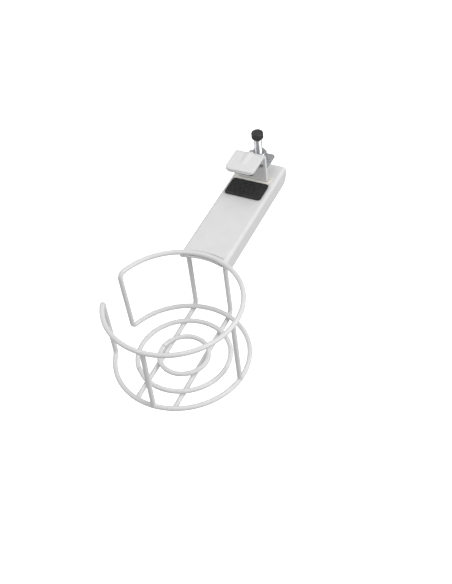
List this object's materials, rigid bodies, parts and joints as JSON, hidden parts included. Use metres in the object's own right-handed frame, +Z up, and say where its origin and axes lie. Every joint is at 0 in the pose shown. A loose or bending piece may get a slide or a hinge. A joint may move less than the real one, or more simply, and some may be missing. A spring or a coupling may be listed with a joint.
{
  "type": "desk clamp cup holder",
  "caption": "Open wire cup cage with a handle gap, welded to a folded sheet arm that ends in a screw-driven hook clamp for a desk rail or board.",
  "frame": {"origin": "middle of the lower jaw pad's upper face, the seat that the desk rests on", "axes": "+Z up out of the seat; +Y along the arm away from the cup; +X to the right when looking along +Y from the cup"},
  "size_m": [0.0954, 0.2024, 0.0903],
  "materials": {
    "wire_coat": "satin white powder coat on round steel wire",
    "sheet_coat": "satin white powder coat on folded sheet steel",
    "pad_rubber": "black rubber, matt",
    "guide_nylon": "natural nylon",
    "zinc_plate": "bright zinc plate",
    "spring_steel": "dark spring steel",
    "knob_plastic": "black moulded plastic, fine texture"
  },
  "bodies": {
    "arm_and_cage": {"main_wire": "wire_coat", "middle_ring": "wire_coat", "inner_ring": "wire_coat", "base_wire_left": "wire_coat", "base_wire_right": "wire_coat", "side_upright": "wire_coat", "front_upright": "wire_coat", "arm_channel": "sheet_coat", "lower_jaw_pad": "pad_rubber", "leg_guide": "guide_nylon"},
    "jaw": {"clamp_hook": "sheet_coat", "upper_jaw_pad": "pad_rubber", "nut_bracket": "zinc_plate", "left_rivet": "zinc_plate", "right_rivet": "zinc_plate", "hex_nut": "zinc_plate"},
    "screw": {"clamp_screw": "zinc_plate", "knob": "knob_plastic", "knob_cap": "knob_plastic", "thrust_washer": "zinc_plate", "top_washer": "guide_nylon", "retaining_clip": "spring_steel", "screw_end_cap": "knob_plastic"}
  },
  "joints": [
    {"name": "screw_turn", "type": "hinge", "parent": "arm_and_cage", "child": "screw", "pos_m": [0, 0.0251, 0], "axis": [0, 0, 1], "range_deg": [-3600, 2160]},
    {"name": "jaw_slide", "type": "slide", "parent": "arm_and_cage", "child": "jaw", "axis": [0, 0, 1], "range_m": [-0.0061, 0.0101]}
  ],
  "couplings": [
    {"joint": "jaw_slide", "follows": "screw_turn", "m_per_rad": -0.00015915}
  ]
}
